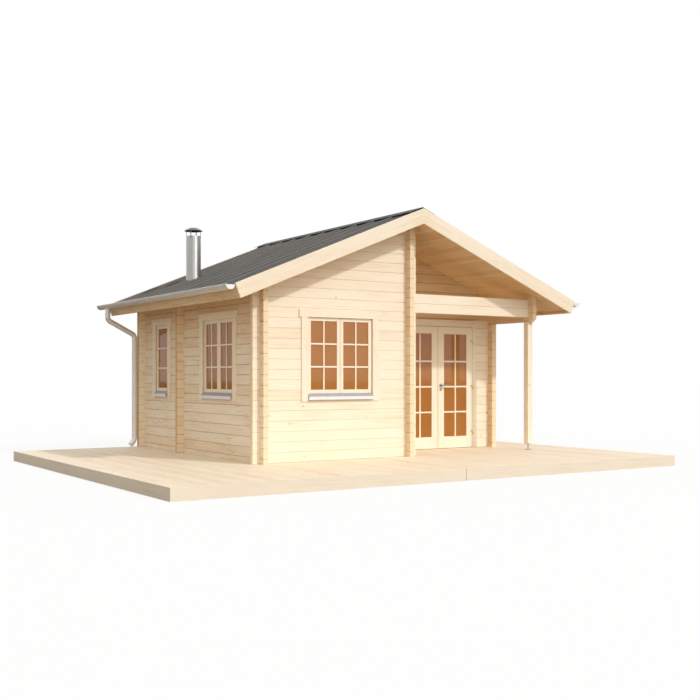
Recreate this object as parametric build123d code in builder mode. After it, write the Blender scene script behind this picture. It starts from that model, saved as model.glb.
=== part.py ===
import os
from math import cos, radians, sin, tan
from typing import NamedTuple

from build123d import *

# Sizes are in millimetres, and heights are measured from the top of the deck.
# X = 0 is the left wall's outer face and Y = 0 the front wall's outer face.

# Cabin
CABIN_WIDTH = 4634
CABIN_DEPTH = 3945
PORCH_DEPTH = 925
PARTITION_Y = 2359
WALL = 70
LOG_HEIGHT = 133
LOG_END = 100
SEAM_DEPTH = 6
LAP = LOG_HEIGHT / 2

# Deck and floor
DECK_LEFT = 2019
DECK_RIGHT = 906
DECK_FRONT = 1917
DECK_HEIGHT = 143
DECK_BOARD = 28
DECK_JOINT = 2
FASCIA_BOARD = 28
FASCIA_JOINT_X = 1782
BEARER_WIDTH = 45
BEARER_SPACING = 600
FLOOR_BOARD = 28

# Roof
PITCH = radians(22.12)
RIDGE_HEIGHT = 3235
CEILING_BOARD = 18
RAFTER_DEPTH = 120
RAFTER_WIDTH = 45
RAFTER_BAYS = 8
SHEET = 2
SEAM_HEIGHT = 20
SEAM_WIDTH = 12
SHEET_PANELS = 10
SHEET_RIDGE_GAP = 20
SHEET_OVERHANG = 34
EAVE_OVERHANG = 471
FRONT_OVERHANG = 373
BACK_OVERHANG = 170
BARGE_BOARD = 28
BARGE_DROP = 47
BARGE_RISE = 4
EAVE_BOARD = 28
RIDGE_CAP = 2
RIDGE_CAP_LEG = 160
RIDGE_CAP_TAIL = 110
HAIRLINE = 0.5

# Gutters and downpipes
GUTTER_RADIUS = 60
GUTTER_SHEET = 2
GUTTER_BEAD = 6
GUTTER_BEAD_SIDES = 8
GUTTER_DROP = 18
GUTTER_TAIL = 180
BRACKET_WIDTH = 25
BRACKET_SHEET = 4
BRACKETS = 6
DOWNPIPE_RADIUS = 40
DOWNPIPE_SHEET = 2
DOWNPIPE_INSET = 15
DOWNPIPE_STANDOFF = 50
NECK_HEIGHT = 1985
OFFSET_HEIGHT = 1759
SHOE_HEIGHT = 103
SHOE_END = 30
SHOE_REACH = 66
CLIP_HEIGHTS = (480, 1430)
CLIP_HEIGHT = 28
CLIP_SHEET = 3

# Chimney
CHIMNEY_X = 341
CHIMNEY_Y = 2775
CHIMNEY_RADIUS = 110
CHIMNEY_BORE = 75
CHIMNEY_TOP = 3223
CHIMNEY_BELOW_CEILING = 60
CAP_RADIUS = 137
CAP_RIM = 3303
CAP_SHOULDER = 21
CAP_SHOULDER_RADIUS = 108
CAP_CROWN = 45
CAP_CROWN_RADIUS = 55
CAP_APEX = 53
CAP_SHEET = 2
CAP_LEGS = 4
CAP_LEG_WIDTH = 14
CAP_LEG_SHEET = 3
CAP_LEG_LAP = 35

# Porch beams and post
BEAM_COURSE = 15
BEAM_COURSES = 2
SIDE_BEAM_COURSE = 14.5
SIDE_BEAM_CHAMFER = 55
POST = 90
POST_FOOT = 100
FOOT_PLATE = 80
FOOT_PLATE_THICKNESS = 6
FOOT_ROD_RADIUS = 10

# Windows
WINDOW_SILL = 886
WINDOW_HEAD = 1884
FRAME_LAP = 20
SASH_RECESS = 10
GLASS_RECESS = 22
GLASS = 20
STILE = 56
MEETING_STILE = 50
RAIL = 48
MEETING_GROOVE = 3
MEETING_GROOVE_DEPTH = 12
TRIM = 20
TRIM_WIDTH = 97
TRIM_TAIL = 104
HEAD_TRIM = 99
TRIM_HORN = 34
SILL_SHEET = 2
SILL_REACH = 44
SILL_FALL = 43
SILL_LIP = 40

# Double door in the porch
DOOR_LEFT = 2866
DOOR_WIDTH = 1362
DOOR_HEAD = 1876
JAMB = 40
JAMB_STOP = 15
THRESHOLD = 30
DOOR_TRIM_WIDTH = 63
LEAF = 40
LEAF_GAP = 5
LEAF_FLOOR_GAP = 8
MEETING_GAP = 8.5
LEAF_STILE = 114
LEAF_TOP_RAIL = 112
LEAF_BOTTOM_RAIL = 177
DOOR_BAR = 25
DOOR_BAR_DEPTH = 9
DOOR_BARS = 3
DOOR_FIRST_BAR = 377
DOOR_BAR_PITCH = 388
HINGE_OFFSET = 8
HINGE_RADIUS = 7
HINGE_KNUCKLE = 34
HINGE_GAP = 0.3
HINGE_PLATE = 3
HINGE_PLATE_WIDTH = 34
HINGE_HEIGHTS = (240, 940, 1640)

# Lever handle
BACKSET = 50
LEVER_HEIGHT = 971
LEVER_LENGTH = 125
LEVER_REACH = 50
LEVER_RADIUS = 9
SPINDLE_RADIUS = 5
SPINDLE_GAP = 0.5
ROSE_RADIUS = 26
ROSE = 8
KEY_ROSE_DROP = 66
KEY_ROSE_RADIUS = 18
KEYHOLE_RADIUS = 4

# Doorway in the inner wall
INNER_DOOR_LEFT = 3000
INNER_DOOR_WIDTH = 750
INNER_DOOR_HEAD = 1900

LEFT, RIGHT = -1, 1
SIDES = (LEFT, RIGHT)

RIDGE_X = CABIN_WIDTH / 2
WING_X = RIDGE_X - WALL / 2
RIGHT_WALL_X = CABIN_WIDTH - WALL
BACK_WALL_Y = CABIN_DEPTH - WALL
ROOF_FRONT = -FRONT_OVERHANG + BARGE_BOARD
ROOF_BACK = CABIN_DEPTH + BACK_OVERHANG - BARGE_BOARD
ROOF_LENGTH = ROOF_BACK - ROOF_FRONT
SLOPE_LENGTH = (RIDGE_X + EAVE_OVERHANG) / cos(PITCH)
RAFTER_TOP = CEILING_BOARD + RAFTER_DEPTH
SHEET_TOP = RAFTER_TOP + SHEET
SEAM_TOP = SHEET_TOP + SEAM_HEIGHT
BARGE_TOP = SHEET_TOP + BARGE_RISE
RIDGE_COURSE = RIDGE_HEIGHT / LOG_HEIGHT
DOOR_RIGHT = DOOR_LEFT + DOOR_WIDTH
LEAF_FACE = PORCH_DEPTH - TRIM
LEAF_BACK = LEAF_FACE + LEAF
LEAF_TOP = DOOR_HEAD - LEAF_GAP

# Upright planes at deck level, one facing the front and one running back along Y
FACING_FRONT = Plane(origin=(0, 0, DECK_HEIGHT), x_dir=(1, 0, 0), z_dir=(0, -1, 0))
RUNNING_BACK = Plane(origin=(0, 0, DECK_HEIGHT), x_dir=(0, 1, 0), z_dir=(1, 0, 0))


class Wall(NamedTuple):
    """A wall's outer face, and which way along the plane's normal is outward."""

    plane: Plane
    outward: int


FRONT_FACE = Wall(FACING_FRONT, 1)
LEFT_FACE = Wall(RUNNING_BACK, -1)
PORCH_FACE = Wall(FACING_FRONT.offset(-PORCH_DEPTH), 1)


class Window(NamedTuple):
    """A window's wall, where its sashes start along it, their width and number."""

    wall: Wall
    start: float
    width: float
    sashes: int


WINDOWS = (
    Window(FRONT_FACE, 702, 1016, 2),
    Window(LEFT_FACE, 743, 935, 2),
    Window(LEFT_FACE, 2929, 480, 1),
)


def course(number):
    """Height of a seam that many logs above the deck."""
    return number * LOG_HEIGHT


def ceiling_height(x):
    """Height of the ceiling's underside over a place along the X axis."""
    return RIDGE_HEIGHT - abs(x - RIDGE_X) * tan(PITCH)


def on_slope(side, down, up):
    """A point (x, z) that far down a slope from the ridge, and up from the ceiling."""
    x = RIDGE_X + side * (down * cos(PITCH) + up * sin(PITCH))
    return x, RIDGE_HEIGHT - down * sin(PITCH) + up * cos(PITCH)


def at_ridge(side, up, gap=0):
    """Where a layer of one slope meets the upright plane beside the ridge."""
    return on_slope(side, (gap - up * sin(PITCH)) / cos(PITCH), up)


def block(x, y, z, mode=Mode.ADD):
    """Adds a box between limits along X, Y and up from the deck."""
    middle = (sum(x) / 2, sum(y) / 2, DECK_HEIGHT + sum(z) / 2)
    with Locations(middle):
        Box(x[1] - x[0], y[1] - y[0], z[1] - z[0], mode=mode)


def outline(plane, points):
    """A closed straight-sided face on a plane."""
    with BuildSketch(plane) as shape:
        with BuildLine():
            Polyline(*points, close=True)
        make_face()
    return shape.sketch


def panel(wall, along, up, inner, outer, mode=Mode.ADD):
    """Adds a board on a wall, between two distances outward from the wall's face."""
    with BuildSketch(wall.plane.offset(wall.outward * inner)) as face:
        with Locations((sum(along) / 2, sum(up) / 2)):
            Rectangle(along[1] - along[0], up[1] - up[0])
    extrude(face.sketch, amount=wall.outward * (outer - inner), mode=mode)


def log_stack(plane, face, low, high, shift):
    """Section of stacked logs between two courses, with V grooves at their seams.

    A wall that runs along Y has its seams half a log higher than one along X.
    """
    seams = [n + shift for n in range(int(high) + 1) if low <= n + shift <= high]
    near = [] if low in seams else [(face, course(low))]
    for seam in seams:
        if seam > low:
            near.append((face, course(seam) - SEAM_DEPTH))
        near.append((face + SEAM_DEPTH, course(seam)))
        if seam < high:
            near.append((face, course(seam) + SEAM_DEPTH))
    if high not in seams:
        near.append((face, course(high)))
    far = [(2 * face + WALL - across, height) for across, height in reversed(near)]
    return outline(plane, near + far)


def logs_along_x(y, start, end, low=0, high=RIDGE_COURSE):
    """Adds stacked logs that run along X."""
    section = log_stack(RUNNING_BACK.offset(start), y, low, high, 0)
    extrude(section, amount=end - start)


def logs_along_y(x, start, end, low=0, high=RIDGE_COURSE):
    """Adds stacked logs that run along Y."""
    section = log_stack(FACING_FRONT.offset(-start), x, low, high, 0.5)
    extrude(section, amount=start - end)


def trim_to_ceiling():
    """Cuts a wall to the slopes of the ceiling's underside."""
    reach = SLOPE_LENGTH * 2
    left, right = on_slope(LEFT, reach, 0), on_slope(RIGHT, reach, 0)
    top = RIDGE_HEIGHT * 2
    points = [left, (RIDGE_X, RIDGE_HEIGHT), right, (right[0], top), (left[0], top)]
    sky = outline(FACING_FRONT, points)
    extrude(sky, amount=CABIN_DEPTH + 2 * LOG_END, both=True, mode=Mode.SUBTRACT)


def top_lap(x):
    """The last whole course below the ceiling where two walls cross."""
    return int(min(ceiling_height(x), ceiling_height(x + WALL)) / LOG_HEIGHT)


def lap_x_logs(crossings, first=0):
    """Halves logs along X at each crossing, and ends them under the crossing's top log."""
    for x, y in crossings:
        top = top_lap(x)
        middle = (x + WALL / 2, y + WALL / 2)
        with Locations(*[(*middle, DECK_HEIGHT + course(n)) for n in range(first, top)]):
            Box(WALL, WALL, LAP, mode=Mode.SUBTRACT)
        ends = (course(top) - LAP / 2, RIDGE_HEIGHT)
        block((x, x + WALL), (y, y + WALL), ends, mode=Mode.SUBTRACT)


def lap_y_logs(crossings, first=0):
    """Halves logs along Y at each crossing, below the crossing's top log."""
    for x, y in crossings:
        middle = (x + WALL / 2, y + WALL / 2)
        levels = [course(n + 0.5) for n in range(first, top_lap(x))]
        with Locations(*[(*middle, DECK_HEIGHT + level) for level in levels]):
            Box(WALL, WALL, LAP, mode=Mode.SUBTRACT)


def window_holes(wall):
    """Cuts the windows of one wall through it."""
    for window in WINDOWS:
        if window.wall is wall:
            along = (window.start - FRAME_LAP, window.start + window.width + FRAME_LAP)
            up = (WINDOW_SILL - FRAME_LAP, WINDOW_HEAD + FRAME_LAP)
            panel(wall, along, up, -WALL, 0, mode=Mode.SUBTRACT)


def sash_glass(window):
    """Limits of each sash's glass along the wall."""
    middle = window.start + window.width / 2
    first, last = window.start + STILE, window.start + window.width - STILE
    if window.sashes == 1:
        return [(first, last)]
    return [(first, middle - MEETING_STILE), (middle + MEETING_STILE, last)]


def slope_outline(side, low, high, start=None, end=SLOPE_LENGTH, gap=HAIRLINE / 2):
    """Section of a slab on one slope, from the ridge or from a start down the slope."""
    if start is None:
        top = [at_ridge(side, low, gap), at_ridge(side, high, gap)]
    else:
        top = [on_slope(side, start, low), on_slope(side, start, high)]
    points = [*top, on_slope(side, end, high), on_slope(side, end, low)]
    return outline(FACING_FRONT, points)


def ridge_outline(low, high, end):
    """Section of one V-shaped piece that folds over the ridge."""
    under = [on_slope(LEFT, end, low), at_ridge(LEFT, low), on_slope(RIGHT, end, low)]
    over = [on_slope(RIGHT, end, high), at_ridge(RIGHT, high), on_slope(LEFT, end, high)]
    return outline(FACING_FRONT, under + over)


def along_y(section, start, end, mode=Mode.ADD):
    """Adds a section drawn at Y = 0 as a piece between two places along Y."""
    extrude(Pos(0, start, 0) * section, amount=start - end, mode=mode)


def chimney_hole():
    """Cuts the chimney's way through a piece of the roof."""
    with Locations((CHIMNEY_X, CHIMNEY_Y, DECK_HEIGHT + RIDGE_HEIGHT)):
        Cylinder(CHIMNEY_RADIUS + HAIRLINE / 2, RIDGE_HEIGHT, mode=Mode.SUBTRACT)


def finish(part, name):
    """Names a finished piece and writes it out."""
    part.part.label = name
    export_step(part.part, f"parts/{name}.step")


os.makedirs("parts", exist_ok=True)

# Deck: bearers on the ground, with beams under the cabin's walls
FRAME_LEFT = -DECK_LEFT + FASCIA_BOARD
FRAME_RIGHT = CABIN_WIDTH + DECK_RIGHT - FASCIA_BOARD
FRAME_FRONT = -DECK_FRONT + FASCIA_BOARD
FRAME_BACK = CABIN_DEPTH - FASCIA_BOARD
BEARER_COUNT = int((FRAME_BACK - FRAME_FRONT) / BEARER_SPACING) + 1
BEARER_HEIGHT = DECK_HEIGHT - DECK_BOARD
with BuildPart() as deck_frame:
    middle = ((FRAME_LEFT + FRAME_RIGHT) / 2, (FRAME_FRONT + FRAME_BACK) / 2)
    with Locations((*middle, BEARER_HEIGHT / 2)):
        pitch = (FRAME_BACK - FRAME_FRONT - BEARER_WIDTH) / (BEARER_COUNT - 1)
        with GridLocations(1, pitch, 1, BEARER_COUNT):
            Box(FRAME_RIGHT - FRAME_LEFT, BEARER_WIDTH, BEARER_HEIGHT)
    below = (-DECK_HEIGHT, 0)
    for x in (0, RIGHT_WALL_X):
        start = 0 if x == 0 else PORCH_DEPTH
        block((x, x + WALL), (start, CABIN_DEPTH), below)
    block((WING_X, WING_X + WALL), (0, PORCH_DEPTH + WALL), below)
    block((0, WING_X + WALL), (0, WALL), below)
    block((WING_X, CABIN_WIDTH), (PORCH_DEPTH, PORCH_DEPTH + WALL), below)
    for y in (PARTITION_Y, BACK_WALL_Y):
        block((0, CABIN_WIDTH), (y, y + WALL), below)
finish(deck_frame, "deck_frame")

# Deck boards in four fields, with an open joint between fields
with BuildPart() as deck_boards:
    boards = (-DECK_BOARD, 0)
    block((FRAME_LEFT, -DECK_JOINT), (FRAME_FRONT, FRAME_BACK), boards)
    block((0, CABIN_WIDTH), (FRAME_FRONT, -DECK_JOINT), boards)
    block((CABIN_WIDTH + DECK_JOINT, FRAME_RIGHT), (FRAME_FRONT, FRAME_BACK), boards)
    block((WING_X + WALL, CABIN_WIDTH), (0, PORCH_DEPTH), boards)
finish(deck_boards, "deck_boards")

# Deck fascia round the deck, butted at one joint in front
with BuildPart() as deck_fascia:
    block((-DECK_LEFT, CABIN_WIDTH + DECK_RIGHT), (-DECK_FRONT, CABIN_DEPTH), below)
    inside = (FRAME_LEFT, FRAME_RIGHT), (FRAME_FRONT, FRAME_BACK)
    block(*inside, below, mode=Mode.SUBTRACT)
    block((0, CABIN_WIDTH), (FRAME_BACK, CABIN_DEPTH), below, mode=Mode.SUBTRACT)
    joint = (FASCIA_JOINT_X, FASCIA_JOINT_X + DECK_JOINT)
    block(joint, (-DECK_FRONT, FRAME_FRONT), below, mode=Mode.SUBTRACT)
finish(deck_fascia, "deck_fascia")

# Floor boards of the two rooms
with BuildPart() as floor:
    laid = (-FLOOR_BOARD, 0)
    block((WALL, RIGHT_WALL_X), (WALL, PARTITION_Y), laid)
    recess = (WING_X, RIGHT_WALL_X), (WALL, PORCH_DEPTH + WALL)
    block(*recess, laid, mode=Mode.SUBTRACT)
    block((WALL, RIGHT_WALL_X), (PARTITION_Y + WALL, BACK_WALL_Y), laid)
finish(floor, "floor")

# Outer walls of interlocking logs
with BuildPart() as front_wall:
    logs_along_x(0, -LOG_END, WING_X + WALL + LOG_END)
    lap_x_logs([(0, 0), (WING_X, 0)])
    window_holes(FRONT_FACE)
    trim_to_ceiling()
finish(front_wall, "front_wall")

with BuildPart() as left_wall:
    logs_along_y(0, -LOG_END, CABIN_DEPTH + LOG_END)
    lap_y_logs([(0, 0), (0, PARTITION_Y), (0, BACK_WALL_Y)])
    window_holes(LEFT_FACE)
    trim_to_ceiling()
finish(left_wall, "left_wall")

with BuildPart() as back_wall:
    logs_along_x(BACK_WALL_Y, -LOG_END, CABIN_WIDTH + LOG_END)
    lap_x_logs([(0, BACK_WALL_Y), (RIGHT_WALL_X, BACK_WALL_Y)])
    trim_to_ceiling()
finish(back_wall, "back_wall")

with BuildPart() as right_wall:
    logs_along_y(RIGHT_WALL_X, PORCH_DEPTH - LOG_END, CABIN_DEPTH + LOG_END)
    lap_y_logs([(RIGHT_WALL_X, y) for y in (PORCH_DEPTH, PARTITION_Y, BACK_WALL_Y)])
    trim_to_ceiling()
finish(right_wall, "right_wall")

# Wing wall between the front room and the porch, up to the ridge
with BuildPart() as wing_wall:
    logs_along_y(WING_X, -LOG_END, PORCH_DEPTH + WALL + LOG_END)
    lap_y_logs([(WING_X, 0), (WING_X, PORCH_DEPTH)])
    trim_to_ceiling()
finish(wing_wall, "wing_wall")


class Doorway(NamedTuple):
    """A doorway in a wall that runs along X, with that wall's ends and crossings."""

    y: float
    start: float
    end: float
    left: float
    right: float
    head: float
    crossings: list


PORCH_DOORWAY = Doorway(
    PORCH_DEPTH,
    WING_X - LOG_END,
    CABIN_WIDTH + LOG_END,
    DOOR_LEFT - JAMB,
    DOOR_RIGHT + JAMB,
    DOOR_HEAD + JAMB,
    [(WING_X, PORCH_DEPTH), (RIGHT_WALL_X, PORCH_DEPTH)],
)
INNER_DOORWAY = Doorway(
    PARTITION_Y,
    -LOG_END,
    CABIN_WIDTH + LOG_END,
    INNER_DOOR_LEFT,
    INNER_DOOR_LEFT + INNER_DOOR_WIDTH,
    INNER_DOOR_HEAD,
    [(0, PARTITION_Y), (RIGHT_WALL_X, PARTITION_Y)],
)

# Porch wall and partition, each split beside and over its doorway
for name, way in (("porch_wall", PORCH_DOORWAY), ("partition", INNER_DOORWAY)):
    lintel = int(way.head / LOG_HEIGHT) + 1
    with BuildPart() as wall_left:
        logs_along_x(way.y, way.start, way.left, high=lintel)
        lap_x_logs(way.crossings)
    finish(wall_left, f"{name}_left")

    with BuildPart() as wall_right:
        logs_along_x(way.y, way.right, way.end, high=lintel)
        lap_x_logs(way.crossings)
    finish(wall_right, f"{name}_right")

    with BuildPart() as wall_over_door:
        logs_along_x(way.y, way.start, way.end, low=lintel)
        logs_along_x(way.y, way.left, way.right, low=way.head / LOG_HEIGHT, high=lintel)
        lap_x_logs(way.crossings)
        trim_to_ceiling()
    finish(wall_over_door, f"{name}_over_door")

# Porch beams: two logs across the front, and a log gable stub along the side
BEAM_TOP_COURSE = BEAM_COURSE + BEAM_COURSES
with BuildPart() as front_beam:
    start = WING_X + WALL + LOG_END
    logs_along_x(0, start, CABIN_WIDTH, BEAM_COURSE, BEAM_TOP_COURSE)
    lap_x_logs([(RIGHT_WALL_X, 0)], first=BEAM_COURSE)
finish(front_beam, "front_beam")

with BuildPart() as side_beam:
    logs_along_y(RIGHT_WALL_X, -LOG_END, PORCH_DEPTH - LOG_END, low=SIDE_BEAM_COURSE)
    front_edges = side_beam.edges().filter_by(Axis.X).group_by(Axis.Y)[0]
    chamfer(front_edges.sort_by(Axis.Z)[0], SIDE_BEAM_CHAMFER)
    lap_y_logs([(RIGHT_WALL_X, 0)], first=BEAM_COURSE)
    trim_to_ceiling()
finish(side_beam, "side_beam")

# Post under the side beam, on a rod between two plates
POST_X = RIGHT_WALL_X + WALL / 2
POST_Y = POST / 2
with BuildPart() as porch_post:
    across = (POST_X - POST / 2, POST_X + POST / 2)
    block(across, (0, POST), (POST_FOOT, course(SIDE_BEAM_COURSE)))
finish(porch_post, "porch_post")

with BuildPart() as post_foot:
    plate = FOOT_PLATE / 2
    for low in (0, POST_FOOT - FOOT_PLATE_THICKNESS):
        reach = (POST_X - plate, POST_X + plate), (POST_Y - plate, POST_Y + plate)
        block(*reach, (low, low + FOOT_PLATE_THICKNESS))
    with Locations((POST_X, POST_Y, DECK_HEIGHT + POST_FOOT / 2)):
        Cylinder(FOOT_ROD_RADIUS, POST_FOOT - FOOT_PLATE_THICKNESS)
finish(post_foot, "post_foot")

# Boarded ceiling under the rafters, which shows in the porch and under the eaves
with BuildPart() as ceiling:
    for side in SIDES:
        section = slope_outline(side, 0, CEILING_BOARD, end=SLOPE_LENGTH - EAVE_BOARD)
        along_y(section, ROOF_FRONT, ROOF_BACK)
    chimney_hole()
finish(ceiling, "ceiling")

# Rafter pairs, spread evenly from end to end
with BuildPart() as rafters:
    section = ridge_outline(CEILING_BOARD, RAFTER_TOP, SLOPE_LENGTH - EAVE_BOARD)
    step = (ROOF_LENGTH - RAFTER_WIDTH) / RAFTER_BAYS
    for bay in range(RAFTER_BAYS + 1):
        start = ROOF_FRONT + bay * step
        along_y(section, start, start + RAFTER_WIDTH)
    chimney_hole()
finish(rafters, "rafters")


def seamed_sheet(side):
    """Section of a standing-seam roof across its slope, below the ridge."""
    x, z = on_slope(side, SHEET_RIDGE_GAP, 0)
    down = (cos(PITCH), 0, -side * sin(PITCH))
    plane = Plane(origin=(x, 0, DECK_HEIGHT + z), x_dir=(0, 1, 0), z_dir=down)
    middle = (ROOF_FRONT + ROOF_BACK) / 2
    panel_width = ROOF_LENGTH / SHEET_PANELS
    with BuildSketch(plane) as sheet:
        with Locations((middle, RAFTER_TOP + SHEET / 2)):
            Rectangle(ROOF_LENGTH, SHEET)
        with Locations((middle, RAFTER_TOP + (SHEET + SEAM_HEIGHT) / 2)):
            with GridLocations(panel_width, 1, SHEET_PANELS - 1, 1):
                Rectangle(SEAM_WIDTH, SHEET + SEAM_HEIGHT)
    return sheet.sketch


# Standing-seam roof sheets, one field to a slope
for side, name in ((LEFT, "roof_left"), (RIGHT, "roof_right")):
    with BuildPart() as roof_sheet:
        run = SLOPE_LENGTH + SHEET_OVERHANG - SHEET_RIDGE_GAP
        extrude(seamed_sheet(side), amount=side * run)
        if side is LEFT:
            chimney_hole()
    finish(roof_sheet, name)

# Ridge cap on the seams, and running on past the back verge
with BuildPart() as ridge_cap:
    section = ridge_outline(SEAM_TOP, SEAM_TOP + RIDGE_CAP, RIDGE_CAP_LEG)
    along_y(section, ROOF_FRONT, ROOF_BACK + RIDGE_CAP_TAIL)
finish(ridge_cap, "ridge_cap")

# Barge boards at both gables, mitred at the ridge and cut square at the eaves
for name, start in (("barge_front", ROOF_FRONT - BARGE_BOARD), ("barge_back", ROOF_BACK)):
    with BuildPart() as barge:
        for side in SIDES:
            board = slope_outline(side, -BARGE_DROP, BARGE_TOP)
            along_y(board, start, start + BARGE_BOARD)
    finish(barge, name)

# Eave boards between the barge boards
with BuildPart() as eave_boards:
    for side in SIDES:
        start = SLOPE_LENGTH - EAVE_BOARD
        board = slope_outline(side, -BARGE_DROP, RAFTER_TOP, start=start)
        along_y(board, ROOF_FRONT, ROOF_BACK)
finish(eave_boards, "eave_boards")

# Half-round gutters on brackets, with end caps and an outlet over each downpipe
GUTTER_RIM = on_slope(LEFT, SLOPE_LENGTH, BARGE_TOP)[1] - GUTTER_DROP
GUTTER_FRONT = ROOF_FRONT - BARGE_BOARD / 2
GUTTER_BACK = ROOF_BACK + GUTTER_TAIL
DOWNPIPE_Y = CABIN_DEPTH - DOWNPIPE_INSET


def gutter_x(side):
    """Middle of a gutter, whose inner rim stands under the eave board's top corner."""
    corner = on_slope(side, SLOPE_LENGTH, BARGE_TOP)[0]
    return corner + side * GUTTER_RADIUS


def half_round(x, outer, inner, bead_side=0):
    """Section of a half-round trough about the gutter's rim line, as a strip."""
    with BuildSketch(FACING_FRONT) as trough:
        with Locations((x, GUTTER_RIM)):
            Circle(outer)
            if inner:
                Circle(inner, mode=Mode.SUBTRACT)
            with Locations((0, outer)):
                Rectangle(2 * outer, 2 * outer, mode=Mode.SUBTRACT)
        if bead_side:
            with Locations((x + bead_side * (outer - GUTTER_SHEET / 2), GUTTER_RIM)):
                RegularPolygon(GUTTER_BEAD, GUTTER_BEAD_SIDES)
    return trough.sketch


def bracket_tail(side):
    """The bracket's end, from under the gutter to the face of the eave board."""
    x = gutter_x(side)
    outer = GUTTER_RADIUS + BRACKET_SHEET
    low = GUTTER_RIM - GUTTER_RADIUS / 2
    corner_x, corner_z = on_slope(side, SLOPE_LENGTH, BARGE_TOP)
    face_top = corner_x - side * (corner_z - GUTTER_RIM) * tan(PITCH)
    face_low = corner_x - side * (corner_z - low) * tan(PITCH)
    arm_low = x - side * (outer**2 - (GUTTER_RADIUS / 2) ** 2) ** 0.5
    rim = x - side * GUTTER_RADIUS
    points = [(rim, GUTTER_RIM), (face_top, GUTTER_RIM), (face_low, low), (arm_low, low)]
    return outline(FACING_FRONT, points)


with BuildPart() as gutters:
    for side in SIDES:
        x = gutter_x(side)
        inner = GUTTER_RADIUS - GUTTER_SHEET
        along_y(half_round(x, GUTTER_RADIUS, inner, side), GUTTER_FRONT, GUTTER_BACK)
        cap = half_round(x, GUTTER_RADIUS, 0)
        along_y(cap, GUTTER_FRONT, GUTTER_FRONT + GUTTER_SHEET)
        along_y(cap, GUTTER_BACK - GUTTER_SHEET, GUTTER_BACK)
        strap = half_round(x, GUTTER_RADIUS + BRACKET_SHEET, GUTTER_RADIUS)
        step = (ROOF_LENGTH - 2 * FRONT_OVERHANG) / (BRACKETS - 1)
        for number in range(BRACKETS):
            start = ROOF_FRONT + FRONT_OVERHANG - BRACKET_WIDTH + number * step
            along_y(strap, start, start + BRACKET_WIDTH)
            along_y(bracket_tail(side), start, start + BRACKET_WIDTH)
        with Locations((x, DOWNPIPE_Y, DECK_HEIGHT + GUTTER_RIM - GUTTER_RADIUS)):
            Cylinder(DOWNPIPE_RADIUS - DOWNPIPE_SHEET, GUTTER_RADIUS, mode=Mode.SUBTRACT)
finish(gutters, "gutters")


def downpipe_run(side):
    """Middle line of a downpipe: neck, slant back under the eave, drop and shoe."""
    corner = 0 if side is LEFT else CABIN_WIDTH
    wall_x = corner + side * (LOG_END + DOWNPIPE_STANDOFF)
    x = gutter_x(side)
    return [
        (x, GUTTER_RIM - GUTTER_RADIUS + DOWNPIPE_RADIUS / 2),
        (x, NECK_HEIGHT),
        (wall_x, OFFSET_HEIGHT),
        (wall_x, SHOE_HEIGHT),
        (wall_x + side * SHOE_REACH, SHOE_END),
    ]


def pipe_along(run, radius, mode=Mode.ADD):
    """Adds a round bar along a mitred run in the downpipe's upright plane."""
    plane = FACING_FRONT.offset(-DOWNPIPE_Y)
    with BuildLine(plane) as path:
        Polyline(*run)
    with BuildSketch(Plane(path.line @ 0, z_dir=path.line % 0)) as round_end:
        Circle(radius)
    sweep(round_end.sketch, path.line, transition=Transition.RIGHT, mode=mode)


with BuildPart() as downpipes:
    for side in SIDES:
        run = downpipe_run(side)
        wall_x = run[2][0]
        pipe_along(run, DOWNPIPE_RADIUS)
        for height in CLIP_HEIGHTS:
            with Locations((wall_x, DOWNPIPE_Y, DECK_HEIGHT + height)):
                Cylinder(DOWNPIPE_RADIUS + CLIP_SHEET, CLIP_HEIGHT)
            seat = sorted((wall_x, wall_x - side * DOWNPIPE_STANDOFF))
            width = (DOWNPIPE_Y - CLIP_HEIGHT / 2, DOWNPIPE_Y + CLIP_HEIGHT / 2)
            block(seat, width, (height - CLIP_HEIGHT / 2, height + CLIP_HEIGHT / 2))
        pipe_along(run, DOWNPIPE_RADIUS - DOWNPIPE_SHEET, mode=Mode.SUBTRACT)
        along_y(half_round(gutter_x(side), GUTTER_RADIUS, 0), 0, GUTTER_BACK, Mode.SUBTRACT)
finish(downpipes, "downpipes")

# Insulated chimney pipe through the left slope
with BuildPart() as chimney_pipe:
    low = ceiling_height(CHIMNEY_X - CHIMNEY_RADIUS) - CHIMNEY_BELOW_CEILING
    with Locations((CHIMNEY_X, CHIMNEY_Y, DECK_HEIGHT + (low + CHIMNEY_TOP) / 2)):
        Cylinder(CHIMNEY_RADIUS, CHIMNEY_TOP - low)
        Cylinder(CHIMNEY_BORE, CHIMNEY_TOP - low, mode=Mode.SUBTRACT)
finish(chimney_pipe, "chimney_pipe")

# Rain cap pressed to a low dome, on strap legs
with BuildPart() as chimney_cap:
    dome = [
        (0, CAP_RIM + CAP_APEX),
        (CAP_CROWN_RADIUS, CAP_RIM + CAP_CROWN),
        (CAP_SHOULDER_RADIUS, CAP_RIM + CAP_SHOULDER),
        (CAP_RADIUS, CAP_RIM),
    ]
    under = [(out, height - CAP_SHEET) for out, height in reversed(dome)]
    section = outline(FACING_FRONT.offset(-CHIMNEY_Y), [(CHIMNEY_X + out, up) for out, up in dome + under])
    revolve(section, axis=Axis((CHIMNEY_X, CHIMNEY_Y, 0), (0, 0, 1)))
    leg_radius = CHIMNEY_RADIUS + CAP_LEG_SHEET / 2
    leg_low = CHIMNEY_TOP - CAP_LEG_LAP
    leg_high = CAP_RIM + CAP_SHOULDER - 2 * CAP_SHEET
    with Locations((CHIMNEY_X, CHIMNEY_Y, DECK_HEIGHT + (leg_low + leg_high) / 2)):
        with PolarLocations(leg_radius, CAP_LEGS, start_angle=180 / CAP_LEGS):
            Box(CAP_LEG_SHEET, CAP_LEG_WIDTH, leg_high - leg_low)
finish(chimney_cap, "chimney_cap")

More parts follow.
